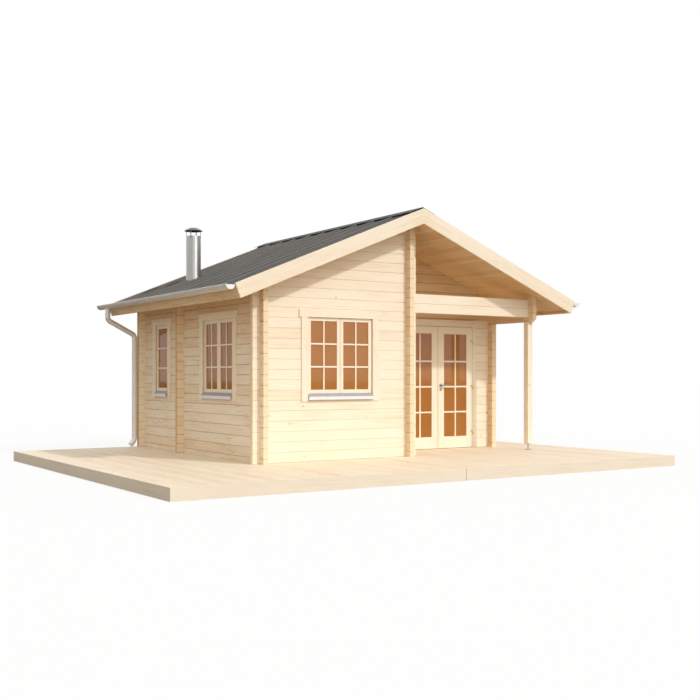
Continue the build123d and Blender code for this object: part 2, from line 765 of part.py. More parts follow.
# Window frames with their sashes
with BuildPart() as window_frames:
    for window in WINDOWS:
        wall, start, end = window.wall, window.start, window.start + window.width
        along = (start - FRAME_LAP, end + FRAME_LAP)
        up = (WINDOW_SILL - FRAME_LAP, WINDOW_HEAD + FRAME_LAP)
        panel(wall, along, up, -WALL, -SASH_RECESS)
        for pane in sash_glass(window):
            light = (WINDOW_SILL + RAIL, WINDOW_HEAD - RAIL)
            panel(wall, pane, light, -WALL, -SASH_RECESS, mode=Mode.SUBTRACT)
        if window.sashes == 2:
            middle = (start + end) / 2
            groove = (middle - MEETING_GROOVE / 2, middle + MEETING_GROOVE / 2)
            depth = SASH_RECESS + MEETING_GROOVE_DEPTH
            height = (WINDOW_SILL, WINDOW_HEAD)
            panel(wall, groove, height, -depth, -SASH_RECESS, mode=Mode.SUBTRACT)
finish(window_frames, "window_frames")

with BuildPart() as window_glass:
    for window in WINDOWS:
        for pane in sash_glass(window):
            light = (WINDOW_SILL + RAIL, WINDOW_HEAD - RAIL)
            panel(window.wall, pane, light, -GLASS_RECESS - GLASS, -GLASS_RECESS)
finish(window_glass, "window_glass")

# Casing boards round the windows: two sides and a head with horns
with BuildPart() as window_trims:
    for window in WINDOWS:
        wall, start, end = window.wall, window.start, window.start + window.width
        sides = (WINDOW_SILL - TRIM_TAIL, WINDOW_HEAD - HAIRLINE)
        panel(wall, (start - TRIM_WIDTH, start), sides, 0, TRIM)
        panel(wall, (end, end + TRIM_WIDTH), sides, 0, TRIM)
        reach = TRIM_WIDTH + TRIM_HORN
        head = (WINDOW_HEAD, WINDOW_HEAD + HEAD_TRIM)
        panel(wall, (start - reach, end + reach), head, 0, TRIM)
finish(window_trims, "window_trims")

# Folded sill flashings between the casings
with BuildPart() as window_sills:
    low = WINDOW_SILL - SILL_FALL
    fold = [
        (0, WINDOW_SILL),
        (-SILL_REACH, low),
        (-SILL_REACH, low - SILL_LIP),
        (-SILL_REACH + SILL_SHEET, low - SILL_LIP),
        (-SILL_REACH + SILL_SHEET, low - SILL_SHEET),
        (0, WINDOW_SILL - SILL_SHEET),
    ]
    for window in WINDOWS:
        if window.wall is FRONT_FACE:
            section = outline(RUNNING_BACK.offset(window.start), fold)
            extrude(section, amount=window.width)
        else:
            section = outline(FACING_FRONT.offset(-window.start), fold)
            extrude(section, amount=-window.width)
finish(window_sills, "window_sills")

# Door frame: jambs, head and threshold, rebated so the leaves close on its stop
with BuildPart() as door_frame:
    along = (DOOR_LEFT - JAMB, DOOR_RIGHT + JAMB)
    panel(PORCH_FACE, along, (0, DOOR_HEAD + JAMB), -WALL, 0)
    inner = (DOOR_LEFT, DOOR_RIGHT)
    rebate = TRIM - LEAF - LEAF_GAP
    panel(PORCH_FACE, inner, (0, DOOR_HEAD), rebate, 0, mode=Mode.SUBTRACT)
    inner = (DOOR_LEFT + JAMB_STOP, DOOR_RIGHT - JAMB_STOP)
    up = (THRESHOLD, DOOR_HEAD - JAMB_STOP)
    panel(PORCH_FACE, inner, up, -WALL, 0, mode=Mode.SUBTRACT)
finish(door_frame, "door_frame")

with BuildPart() as door_trim:
    sides = (0, DOOR_HEAD - HAIRLINE)
    panel(PORCH_FACE, (DOOR_LEFT - DOOR_TRIM_WIDTH, DOOR_LEFT), sides, 0, TRIM)
    panel(PORCH_FACE, (DOOR_RIGHT, DOOR_RIGHT + DOOR_TRIM_WIDTH), sides, 0, TRIM)
    reach = DOOR_TRIM_WIDTH + TRIM_HORN
    head = (DOOR_HEAD, DOOR_HEAD + HEAD_TRIM)
    panel(PORCH_FACE, (DOOR_LEFT - reach, DOOR_RIGHT + reach), head, 0, TRIM)
finish(door_trim, "door_trim")

DOOR_MIDDLE = (DOOR_LEFT + DOOR_RIGHT) / 2
LIGHT = (LEAF_FLOOR_GAP + LEAF_BOTTOM_RAIL, LEAF_TOP - LEAF_TOP_RAIL)
LEVER_X = DOOR_MIDDLE + MEETING_GAP / 2 + BACKSET


def leaf_limits(side):
    """Limits of one door leaf along X, from its meeting edge to its hinge edge."""
    meeting = DOOR_MIDDLE + side * MEETING_GAP / 2
    hinge = DOOR_MIDDLE + side * (DOOR_WIDTH / 2 - LEAF_GAP)
    return tuple(sorted((meeting, hinge)))


def leaf_light(side):
    """Limits of a leaf's glass along X."""
    low, high = leaf_limits(side)
    return low + LEAF_STILE, high - LEAF_STILE


def bored(x, height, radius, low, high):
    """Cuts a round hole back through the door between two places along Y."""
    with Locations(Plane(origin=(x, (low + high) / 2, DECK_HEIGHT + height), z_dir=(0, 1, 0))):
        Cylinder(radius, high - low, mode=Mode.SUBTRACT)


# Door leaves: glazed frames with bars on both faces of the glass
for side, name in ((LEFT, "left"), (RIGHT, "right")):
    low, high = leaf_limits(side)
    light = leaf_light(side)
    with BuildPart() as door_leaf:
        panel(PORCH_FACE, (low, high), (LEAF_FLOOR_GAP, LEAF_TOP), TRIM - LEAF, TRIM)
        panel(PORCH_FACE, light, LIGHT, TRIM - LEAF, TRIM, mode=Mode.SUBTRACT)
        middle = sum(light) / 2
        for outer in (TRIM - HAIRLINE, TRIM - LEAF + DOOR_BAR_DEPTH + HAIRLINE):
            layer = (outer - DOOR_BAR_DEPTH, outer)
            half = DOOR_BAR / 2
            panel(PORCH_FACE, (middle - half, middle + half), LIGHT, *layer)
            for bar in range(DOOR_BARS):
                height = LIGHT[0] + DOOR_FIRST_BAR + bar * DOOR_BAR_PITCH
                panel(PORCH_FACE, light, (height - half, height + half), *layer)
        if side is RIGHT:
            bore = SPINDLE_RADIUS + SPINDLE_GAP
            bored(LEVER_X, LEVER_HEIGHT, bore, LEAF_FACE, LEAF_BACK)
    finish(door_leaf, f"door_leaf_{name}")

    with BuildPart() as door_glass:
        depth = DOOR_BAR_DEPTH + HAIRLINE
        panel(PORCH_FACE, light, LIGHT, TRIM - LEAF + depth, TRIM - depth)
    finish(door_glass, f"door_glass_{name}")


def hinge_half(side, hand, height):
    """Adds a knuckle and its plate, on the leaf (hand -1) or on the casing (hand 1)."""
    pin_x = leaf_limits(side)[1] if side is RIGHT else leaf_limits(side)[0]
    pin_y = LEAF_FACE - HINGE_OFFSET
    level = DECK_HEIGHT + height - hand * (HINGE_KNUCKLE + HINGE_GAP) / 2
    with Locations((pin_x, pin_y, level)):
        Cylinder(HINGE_RADIUS, HINGE_KNUCKLE)
    edge = pin_x + side * hand * HINGE_PLATE_WIDTH
    across = sorted((pin_x, edge))
    up = level - DECK_HEIGHT
    span = (up - HINGE_KNUCKLE / 2, up + HINGE_KNUCKLE / 2)
    block(across, (LEAF_FACE - HINGE_PLATE, LEAF_FACE), span)


# Hinge halves on the casings, with the leaves' halves standing on them
with BuildPart() as door_hinges:
    for side in SIDES:
        for height in HINGE_HEIGHTS:
            hinge_half(side, 1, height)
finish(door_hinges, "door_hinges")

# Fittings of the leaves: hinge halves, and the roses of the lever and key
for side, name in ((LEFT, "left"), (RIGHT, "right")):
    with BuildPart() as leaf_fittings:
        for height in HINGE_HEIGHTS:
            hinge_half(side, -1, height)
        if side is RIGHT:
            for start, end in ((LEAF_FACE - ROSE, LEAF_FACE), (LEAF_BACK, LEAF_BACK + ROSE)):
                for drop, radius, hole in (
                    (0, ROSE_RADIUS, LEVER_RADIUS + SPINDLE_GAP),
                    (KEY_ROSE_DROP, KEY_ROSE_RADIUS, KEYHOLE_RADIUS),
                ):
                    centre = (LEVER_X, (start + end) / 2, DECK_HEIGHT + LEVER_HEIGHT - drop)
                    with Locations(Plane(origin=centre, z_dir=(0, 1, 0))):
                        Cylinder(radius, end - start)
                        Cylinder(hole, end - start, mode=Mode.SUBTRACT)
    finish(leaf_fittings, f"leaf_fittings_{name}")

# Lever handle: a mitred lever on each face of the door, on one spindle
with BuildPart() as door_lever:
    lever_plane = Plane(origin=(LEVER_X, 0, DECK_HEIGHT + LEVER_HEIGHT))
    for start, out in ((LEAF_FACE, -1), (LEAF_BACK, 1)):
        with BuildLine(lever_plane) as bend:
            reach = start + out * LEVER_REACH
            Polyline((0, start), (0, reach), (LEVER_LENGTH, reach))
        with BuildSketch(Plane(bend.line @ 0, z_dir=bend.line % 0)) as grip:
            Circle(LEVER_RADIUS)
        sweep(grip.sketch, bend.line, transition=Transition.RIGHT)
    spindle = (LEVER_X, (LEAF_FACE + LEAF_BACK) / 2, DECK_HEIGHT + LEVER_HEIGHT)
    with Locations(Plane(origin=spindle, z_dir=(0, 1, 0))):
        Cylinder(SPINDLE_RADIUS, LEAF_BACK - LEAF_FACE)
finish(door_lever, "door_lever")
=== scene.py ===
from math import cos, pi, radians, sin

import bpy
from mathutils import Matrix, Vector


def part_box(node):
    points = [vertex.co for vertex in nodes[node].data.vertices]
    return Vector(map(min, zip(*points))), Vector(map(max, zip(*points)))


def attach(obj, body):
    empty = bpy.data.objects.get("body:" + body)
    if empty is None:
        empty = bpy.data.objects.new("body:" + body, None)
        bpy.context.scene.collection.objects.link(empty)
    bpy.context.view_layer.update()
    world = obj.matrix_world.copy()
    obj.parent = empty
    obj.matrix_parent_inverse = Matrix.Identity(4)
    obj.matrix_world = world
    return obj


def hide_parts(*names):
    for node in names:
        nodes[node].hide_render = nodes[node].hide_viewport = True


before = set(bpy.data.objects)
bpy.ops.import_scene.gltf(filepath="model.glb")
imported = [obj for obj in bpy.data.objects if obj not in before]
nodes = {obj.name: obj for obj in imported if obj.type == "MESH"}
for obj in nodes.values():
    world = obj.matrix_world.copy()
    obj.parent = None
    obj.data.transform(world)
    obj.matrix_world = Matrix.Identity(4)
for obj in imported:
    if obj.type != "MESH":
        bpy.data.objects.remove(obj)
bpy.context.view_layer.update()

# Deck frame: sawn softwood bearers on the ground, with heavier beams under the cabin's
# walls. Only their faces under the deck and at its back edge show.


class Shade:
    """One output in a material's node tree; sums written on it add Math nodes."""

    def __init__(self, tree, node=None, output=0):
        self.tree, self.made = tree, node
        self.socket = node.outputs[output] if node else None

    def node(self, kind, inputs=None, output=0, stops=None, **settings):
        """Adds a node: its settings and ramp stops, then its sockets' values or links."""
        made = self.tree.nodes.new("ShaderNode" + kind)
        for name, value in settings.items():
            setattr(made, name, value)
        if stops:
            ramp = made.color_ramp.elements
            for element, (place, shade) in zip(ramp, (stops[0], stops[-1])):
                element.position, element.color = place, shade
            for place, shade in stops[1:-1]:
                ramp.new(place).color = shade
        for place, value in (inputs or {}).items():
            if isinstance(value, Shade):
                self.tree.links.new(value.socket, made.inputs[place])
            else:
                made.inputs[place].default_value = value
        return Shade(self.tree, made, output)

    def output(self, name):
        """Another output of the same node."""
        return Shade(self.tree, self.made, name)

    def math(self, operation, *others, clamp=False):
        """A Math node on this value and up to two more."""
        values = dict(enumerate((self, *others)))
        return self.node("Math", values, operation=operation, use_clamp=clamp)

    def __add__(self, other):
        return self.math("ADD", other)

    def __sub__(self, other):
        return self.math("SUBTRACT", other)

    def __mul__(self, other):
        return self.math("MULTIPLY", other)

    def __truediv__(self, other):
        return self.math("DIVIDE", other)

    def __rsub__(self, other):
        return self.node("Math", {0: other, 1: self}, operation="SUBTRACT")

    __radd__ = __add__
    __rmul__ = __mul__

    def above(self, level, softness=0.0):
        """1 where this value is above a level and 0 below, with a soft step between."""
        if not softness:
            return self.math("GREATER_THAN", level)
        limits = {1: level - softness, 2: level + softness}
        return self.node("MapRange", {0: self, **limits}, interpolation_type="SMOOTHSTEP")

    def mix(self, first, second, blend="MIX"):
        """The first colour where this factor is 0, and the second where it is 1."""
        inputs = {0: self, 6: first, 7: second}
        return self.node("Mix", inputs, 2, data_type="RGBA", blend_type=blend)


def linear(red, green, blue):
    """A screen colour, from 0 to 255, as a shader colour."""
    parts = [value / 255 for value in (red, green, blue)]
    return *[p / 12.92 if p <= 0.04045 else ((p + 0.055) / 1.055) ** 2.4 for p in parts], 1


class Finish:
    """A new material, with the coordinates of a point and the way its face looks."""

    def __init__(self, name):
        self.material = bpy.data.materials.new(name)
        self.material.use_nodes = True
        self.tree = self.material.node_tree
        self.shader = self.tree.nodes["Principled BSDF"]
        self.start = Shade(self.tree)
        place = self.start.node("TexCoord", output="Object")
        self.point = self.parts(place)
        self.facing = self.parts(place.output("Normal"))

    def parts(self, vector):
        """A vector's X, Y and Z."""
        split = self.start.node("SeparateXYZ", {0: vector})
        return split, split.output(1), split.output(2)

    def noise(self, along, across, depth, detail=2.0, distortion=0.0):
        """Noise between 0 and 1, on coordinates that are already scaled."""
        place = self.start.node("CombineXYZ", {0: along, 1: across, 2: depth})
        values = {"Vector": place, "Scale": 1.0, "Detail": detail, "Distortion": distortion}
        return self.start.node("TexNoise", values, "Fac")

    def random(self, value, seed=0.0):
        """Another random number between 0 and 1 for each whole number."""
        return self.start.node("TexWhiteNoise", {"W": value + seed}, 0, noise_dimensions="1D")

    def set(self, **values):
        """Sets or links the shader's sockets, named with _ for a space."""
        for name, value in values.items():
            socket = self.shader.inputs[name.replace("_", " ")]
            if isinstance(value, Shade):
                self.tree.links.new(value.socket, socket)
            else:
                socket.default_value = value

    def bump(self, height, strength, distance):
        """Raises the surface by a height between 0 and 1."""
        values = {"Height": height, "Strength": strength, "Distance": distance}
        self.set(Normal=self.start.node("Bump", values, "Normal"))

    def on(self, *names):
        """Gives the finish to whole CAD nodes."""
        for name in names:
            nodes[name].data.materials.clear()
            nodes[name].data.materials.append(self.material)


# End grain colours: a pale pair like the planed faces, and a darker, warmer pair that is painted
# shade for cut ends that stand in shade.
PALE_CUT = linear(252, 234, 202), linear(236, 204, 156)
SHADE_PAINTED_CUT = linear(238, 198, 142), linear(204, 152, 92)


def softwood(
    name,
    layout,
    board=0.0,
    seed=0.0,
    ends=None,
    cut=SHADE_PAINTED_CUT,
    tone=0.0,
    joint=0.0,
    seam=0.6,
    knots=0.4,
    marks=0.3,
):
    """Planed spruce: rings, fibres, knots, a tone for each board, and end grain.

    layout turns a point and its facing into distances along, across and through the
    boards, and ends is the axis along which the logs' cut ends look; cut holds the two
    end grain colours, by default the painted shade pair. tone is a number or a function
    of the point, which on walls and boards in shade is painted shade; seam how dark a
    joint looks, marks how many dark flecks.
    """
    finish = Finish(name)
    along, across, through = layout(finish.point, finish.facing)
    number = (across / board).math("FLOOR") if board else along * 0.0
    chance = finish.random(number, seed)
    along = along + chance * 23.0
    cell = finish.start.node(
        "TexVoronoi",
        {
            "Vector": finish.start.node("CombineXYZ", {0: along * 0.72, 1: across + chance * 5.0}),
            "Scale": 5.6,
            "Randomness": 0.9,
        },
        voronoi_dimensions="2D",
    )
    kept = finish.parts(cell.output("Color"))
    there = kept[0].above(1 - knots) * (kept[2] * 0.6 + 0.4)
    size = kept[1] * 0.04 + 0.02
    knot = (1 - (cell / size).above(0.9, 0.35)) * there
    rim = (1 - (cell / size).above(1.6, 0.7)) * there
    swell = (1 - cell.above(0.2, 0.2)) * there
    drift = finish.noise(along * 0.7, across * 7.0 + seed, through * 7.0, 2.0, 0.4)
    phase = across * 560.0 + drift * 62.0 + swell * 9.0
    rings = (phase.math("SINE") * 0.5 + 0.5).math("POWER", 2.0)
    fibres = finish.noise(along * 9.0, across * 420.0, through * 420.0)
    streaks = finish.noise(along * 1.6, across * 38.0, through * 38.0 + seed, 3.0)
    cloud = finish.noise(along * 1.1, across * 3.0, through * 3.0 + seed)
    amount = rings * 0.22 + (streaks - 0.5) * 0.6 + (fibres - 0.5) * 0.25
    amount = amount + (cloud - 0.5) * 0.5 + (chance - 0.5) * 0.24
    amount = amount + (tone(finish.point) if callable(tone) else tone)
    wood = amount.math("MAXIMUM", 0.0, clamp=True).mix(linear(250, 238, 216), linear(222, 176, 112))
    flecks = finish.noise(along * 2.6, across * 85.0, through * 85.0 + seed, 2.0).above(0.66, 0.05)
    stain = flecks * cloud.above(0.48, 0.1) * marks
    wood = stain.mix(wood, linear(176, 120, 66))
    wood = (rim * 0.35).mix(wood, linear(208, 158, 98))
    wood = (knot * 0.5).mix(wood, linear(164, 112, 62))
    grain = rings * 0.35 + fibres * 0.4 + streaks * 0.3
    if ends is not None:
        sawn_off = finish.facing[ends].math("ABSOLUTE").above(0.7)
        height = across - number * (board or 1.0) - (board or 0.1) * 0.46
        radius = (height * height + (through - 0.021) * (through - 0.021)).math("SQRT")
        wobble = finish.noise(across * 14.0, through * 14.0, number * 0.7)
        circles = ((radius + wobble * 0.012) * 1500.0).math("SINE") * 0.5 + 0.5
        wood = sawn_off.mix(wood, (circles * 0.5 + wobble * 0.3).mix(*cut))
        grain = grain * (1 - sawn_off) + circles * sawn_off * 0.5
    if joint:
        gap = (across / board).math("FRACT") * board
        gap = 1 - gap.math("MINIMUM", board - gap).above(joint, joint * 0.6)
        gap = gap * (cloud * 0.9 + 0.35)
        wood = (gap * seam).mix(wood, linear(112, 68, 30))
        grain = grain - gap * 2.0
    finish.wood = wood
    finish.set(Base_Color=wood, Roughness=0.5 + grain * 0.12)
    finish.set(Specular_IOR_Level=0.3)
    finish.bump(grain, 0.35, 0.0012)
    return finish


def lying_along_x(point, facing):
    """Boards or logs that run along X, one above another."""
    return point[0], point[2], point[1]


def facing_sides(facing):
    """1 on faces that look along X."""
    return facing[0].math("ABSOLUTE").above(0.7)


sawn = softwood("sawn_bearers", lying_along_x, tone=0.25, seed=3.0, ends=0)
sawn.on("deck_frame")

# Deck boards: planed 28 mm boards that run front to back, with eased edges and a small
# gap, screwed down in pairs of screws. They lie in four fields round the cabin.
BOARD_PITCH = 0.145
BOARD_GAP = 0.003
BOARD_EASE = 0.003


def select_none():
    """Leaves edit mode, with nothing selected."""
    if bpy.context.object and bpy.context.object.mode != "OBJECT":
        bpy.ops.object.mode_set(mode="OBJECT")
    bpy.ops.object.select_all(action="DESELECT")


def bevel_all(width, segments=2):
    """Rounds every edge of the active mesh by a width."""
    bpy.ops.object.mode_set(mode="EDIT")
    bpy.ops.mesh.select_all(action="SELECT")
    bpy.ops.mesh.bevel(offset=width, segments=segments, affect="EDGES")
    bpy.ops.object.mode_set(mode="OBJECT")


def timber(name, low, high, ease, segments=2):
    """A piece of timber between two corners, with eased edges."""
    select_none()
    low, high = Vector(low), Vector(high)
    bpy.ops.mesh.primitive_cube_add(size=1, location=(low + high) / 2, scale=high - low)
    bpy.ops.object.transform_apply()
    made = bpy.context.object
    made.name = made.data.name = name
    bevel_all(ease, segments)
    return made


def joined(name, pieces, finish, body="house"):
    """Joins pieces to one object with a finish, which rides on a body."""
    select_none()
    for piece in pieces:
        piece.select_set(True)
    bpy.context.view_layer.objects.active = pieces[0]
    if len(pieces) > 1:
        bpy.ops.object.join()
    made = pieces[0]
    made.name = made.data.name = name
    made.data.materials.clear()
    made.data.materials.append(finish.material)
    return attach(made, body)


def copied(piece, *offset):
    """A copy with a mesh of its own, moved by an offset."""
    copy = bpy.data.objects.new(piece.name, piece.data.copy())
    copy.data.transform(Matrix.Translation(offset))
    bpy.context.scene.collection.objects.link(copy)
    return copy


deck_low, deck_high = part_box("deck_boards")
cabin_low, cabin_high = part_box("floor")
WALL = 0.07
cabin_left, cabin_right = cabin_low.x - WALL, cabin_high.x + WALL
front_y = cabin_low.y - WALL
porch_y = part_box("porch_wall_left")[0].y
wing_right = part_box("wing_wall")[1].x


def deck_field(left, right, front, back):
    """Whole boards side by side over a field, all of one width."""
    count = round((right - left) / BOARD_PITCH)
    pitch = (right - left + BOARD_GAP) / count
    low = (left, front, deck_low.z)
    first = timber("deck_board", low, (left + pitch - BOARD_GAP, back, deck_high.z), BOARD_EASE)
    return [first] + [copied(first, number * pitch, 0, 0) for number in range(1, count)]


boards = deck_field(deck_low.x, cabin_left - BOARD_GAP, deck_low.y, deck_high.y)
boards += deck_field(cabin_left, cabin_right, deck_low.y, front_y - BOARD_GAP)
boards += deck_field(cabin_right + BOARD_GAP, deck_high.x, deck_low.y, deck_high.y)
boards += deck_field(wing_right, cabin_right, front_y, porch_y)
decking = softwood(
    "planed_decking",
    lambda point, facing: (point[1], point[0] - deck_low.x, point[2]),
    board=(cabin_left - deck_low.x) / round((cabin_left - deck_low.x) / BOARD_PITCH),
    seed=11.0,
    ends=1,
    tone=0.02,
)
deck = joined("deck_boards_laid", boards, decking)
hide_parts("deck_boards")

# Deck fascia: planed boards on edge round the deck, butted at one joint in front.


def along_each_side(point, facing):
    """Boards on edge that run along the face which they show."""
    side = facing_sides(facing)
    return point[1] * side + point[0] * (1 - side), point[2], point[0] * side


fascia = softwood("planed_fascia", along_each_side, seed=17.0, tone=-0.12, knots=0.0, marks=0.1)
FASCIA_JOINT = 1.782
butt = 1 - (fascia.point[0] - FASCIA_JOINT).math("ABSOLUTE").above(0.003, 0.001)
fascia.set(Base_Color=(butt * 0.8).mix(fascia.wood, linear(104, 68, 36)))
fascia.on("deck_fascia")

# Floor: tongued boards in both rooms, laid front to back.
floor_boards = softwood(
    "floor_boards",
    lambda point, facing: (point[1], point[0], point[2]),
    board=0.12,
    seed=23.0,
    tone=0.1,
    joint=0.001,
)
floor_boards.on("floor")

# Log walls: 70 mm spruce logs, tongued, grooved and half-lapped at the corners, so those
# along Y lie half a log higher than those along X. The cut ends show at every corner.
LOG = 0.133
DECK_TOP = deck_high.z


def log_wall(name, seed, along_x, *parts, **looks):
    """Gives one line of walls its own run of logs."""
    level = DECK_TOP if along_x else DECK_TOP + LOG / 2
    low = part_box(parts[0])[0]

    def layout(point, facing):
        if along_x:
            return point[0], point[2] - level, point[1] - low.y
        return point[1], point[2] - level, point[0] - low.x

    ends = 0 if along_x else 1
    logs = softwood(name, layout, board=LOG, seed=seed, ends=ends, joint=0.003, **looks)
    logs.on(*parts)


def left_wall_painted_shade(point):
    """Painted shade: a warmer, darker tone over the left wall, and more under the eaves."""
    return point[2].above(1.9, 0.6) * 0.4 + 0.12


front_looks = {"cut": PALE_CUT, "seam": 0.15, "knots": 0.1, "marks": 0.15}
log_wall("front_logs", 31.0, True, "front_wall", "front_beam", **front_looks)
# Painted shade: the left wall takes a darker, warmer tone, and more of it under the eaves.
log_wall("left_logs", 37.0, False, "left_wall", cut=PALE_CUT, tone=left_wall_painted_shade, marks=0.8)
# Painted shade: the wing and right walls take a darker, warmer tone, as they stand in shade.
log_wall("wing_logs", 41.0, False, "wing_wall", cut=PALE_CUT, tone=0.42)
log_wall("right_logs", 43.0, False, "right_wall", "side_beam", cut=PALE_CUT, tone=0.5)
log_wall("back_logs", 47.0, True, "back_wall", seam=0.4)
log_wall("porch_logs", 53.0, True, "porch_wall_left", "porch_wall_right", seam=0.4, knots=0.2)
# Painted shade: the logs over the porch door take a darker, warmer tone, as they stand in shade.
log_wall("porch_gable_logs", 53.0, True, "porch_wall_over_door", tone=0.6)
inner_walls = ("partition_left", "partition_right", "partition_over_door")
log_wall("partition_logs", 59.0, True, *inner_walls, tone=0.2)

# Porch post: a planed 90 mm post on a galvanised foot.
post = softwood(
    "planed_post", lambda point, facing: (point[2], point[0], point[1]), seed=61.0, knots=0.3
)
post.on("porch_post")
galvanised = Finish("galvanised_foot")
spangle = galvanised.start.node(
    "TexVoronoi", {"Vector": galvanised.start.node("TexCoord", output="Object"), "Scale": 90.0}
)
galvanised.set(
    Base_Color=spangle.mix(linear(150, 152, 154), linear(190, 192, 194)),
    Roughness=spangle * 0.2 + 0.35,
    Metallic=0.9,
)
galvanised.on("post_foot")

# Roof structure: a boarded ceiling under the rafters, which shows in the porch and under
# the eaves, with barge boards at the gables and eave boards between them.
PITCH = radians(22.12)
ridge_x = (cabin_left + cabin_right) / 2


def down_the_slope(point):
    """Distances down a slope from the ridge and up from it, on both slopes alike."""
    out = (point[0] - ridge_x).math("ABSOLUTE")
    down = out * cos(PITCH) - point[2] * sin(PITCH)
    return down, out * sin(PITCH) + point[2] * cos(PITCH)


def running_back(point, facing):
    """Boards that run front to back, side by side down the slope."""
    down, up = down_the_slope(point)
    return point[1], down, up


def running_down(point, facing):
    """Boards that run down the slope."""
    down, up = down_the_slope(point)
    return down, up, point[1]


# Painted shade: the ceiling boards take a darker, warmer tone, as they stand in shade.
lining = softwood("ceiling_boards", running_back, board=0.095, seed=67.0, tone=0.65, joint=0.0012)
lining.on("ceiling")
softwood("sawn_rafters", running_down, seed=71.0, tone=0.2).on("rafters")
planed = softwood("planed_barges", running_down, seed=73.0, tone=-0.04, knots=0.0, marks=0.1)
planed.on("barge_front", "barge_back")
# Painted shade: the eave boards take a darker, warmer tone, as they stand in shade.
softwood("planed_eaves", running_back, seed=79.0, tone=0.5, knots=0.3).on("eave_boards")

# Roof sheets: dark coated steel in long pans with standing seams, and a folded ridge cap.
# Each pan has a painted highlight beside its seams and is painted lighter towards one side as
# painted shading.
roof_low, roof_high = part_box("roof_left")
sheet = Finish("coated_roof_sheet")
down, up = down_the_slope(sheet.point)
panel = (roof_high.y - roof_low.y) / 10
across = ((sheet.point[1] - roof_low.y) / panel).math("FRACT")
dust = sheet.noise(down * 0.35, sheet.point[1] * 9.0, 0.0, 2.0)
fine = sheet.noise(down * 1.2, sheet.point[1] * 34.0, 3.0, 2.0)
patch = sheet.noise(down * 1.6, sheet.point[1] * 2.0, 5.0, 3.0)
rib = across.math("MINIMUM", 1 - across)
# Painted highlight: a pale, patchy band beside each seam.
seam_highlight = (1 - rib.above(0.04, 0.015)) * (patch * 0.5 + 0.4)
# across * 0.25 is painted shading: each pan is lighter towards one side.
run = (dust - 0.5) * 1.8 + (fine - 0.5) * 0.5 + across * 0.25 + 0.15
flat = run.math("MAXIMUM", 0.0, clamp=True).mix(linear(40, 43, 48), linear(92, 91, 88))
flat = seam_highlight.mix(flat, linear(142, 138, 130))
sheet.set(Base_Color=flat, Roughness=dust * 0.15 + 0.45, Specular_IOR_Level=0.12)
sheet.bump(patch, 0.1, 0.004)
sheet.on("roof_left", "roof_right", "ridge_cap")

# Ridge closures: folded strips of the roof's sheet that shut each pan under the ridge cap,
# between one seam and the next.
RIDGE_TOP = DECK_TOP + 3.235
PAN_TOP = 0.140
SEAM = 0.020
CLOSURE_DOWN = 0.150
closures = []
for side in (-1, 1):
    rise = PAN_TOP + SEAM / 2
    out = CLOSURE_DOWN * cos(PITCH) + rise * sin(PITCH)
    height = RIDGE_TOP - CLOSURE_DOWN * sin(PITCH) + rise * cos(PITCH)
    select_none()
    bpy.ops.mesh.primitive_cube_add(
        size=1,
        location=(ridge_x + side * out, roof_low.y + panel / 2, height),
        rotation=(0, side * PITCH, 0),
        scale=(0.012, panel - 0.013, SEAM - 0.0005),
    )
    bpy.ops.object.transform_apply()
    bevel_all(0.001, 1)
    first = bpy.context.object
    closures += [first] + [copied(first, 0, number * panel, 0) for number in range(1, 10)]
joined("ridge_closures", closures, sheet)

# Gutters: cream coated steel, half round with a rolled front bead, on straps under the
# eaves.
rainwater = Finish("cream_rainwater_goods")
streak = rainwater.noise(
    rainwater.point[1] * 3.0, rainwater.point[2] * 40.0, rainwater.point[0] * 40.0, 3.0
)
rainwater.set(
    Base_Color=streak.mix(linear(242, 241, 240), linear(226, 223, 218)),
    Roughness=streak * 0.15 + 0.34,
    Metallic=0.4,
)
rainwater.on("gutters", "downpipes")

# Downpipes: round steel pipe with two smooth bends back to the wall and a shoe at its
# foot, held by two clips with arms to the log ends.
PIPE_RADIUS = 0.040
PIPE_SHEET = 0.002
PIPE_BEND = 0.045
CLIP = 0.028
CLIP_HEIGHTS = (0.480, 1.430)
pipe_low, pipe_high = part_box("downpipes")
pipe_y = (pipe_low.y + pipe_high.y) / 2


def bent_pipe(points):
    """A round pipe through points, with its corners bent to an even radius."""
    select_none()
    bpy.ops.mesh.primitive_plane_add(size=0.01, location=points[0])
    bpy.ops.object.transform_apply()
    bpy.ops.object.mode_set(mode="EDIT")
    bpy.ops.mesh.select_all(action="SELECT")
    bpy.ops.mesh.merge(type="CENTER")
    for start, end in zip(points, points[1:]):
        bpy.ops.mesh.extrude_region_move(TRANSFORM_OT_translate={"value": end - start})
    bpy.ops.mesh.select_all(action="SELECT")
    bpy.ops.mesh.bevel(offset=PIPE_BEND, segments=6, affect="VERTICES")
    bpy.ops.object.mode_set(mode="OBJECT")
    bpy.ops.object.convert(target="CURVE")
    pipe = bpy.context.object
    pipe.data.bevel_depth = PIPE_RADIUS
    pipe.data.bevel_resolution = 5
    bpy.ops.object.convert(target="MESH")
    bpy.ops.object.mode_set(mode="EDIT")
    bpy.ops.mesh.select_all(action="SELECT")
    bpy.ops.mesh.normals_make_consistent(inside=False)
    bpy.ops.object.mode_set(mode="OBJECT")
    bpy.ops.object.modifier_add(type="SOLIDIFY")
    pipe.modifiers[0].thickness = PIPE_SHEET
    pipe.modifiers[0].offset = -1
    bpy.ops.object.modifier_apply(modifier=pipe.modifiers[0].name)
    bpy.ops.object.shade_smooth_by_angle(angle=radians(40))
    return pipe


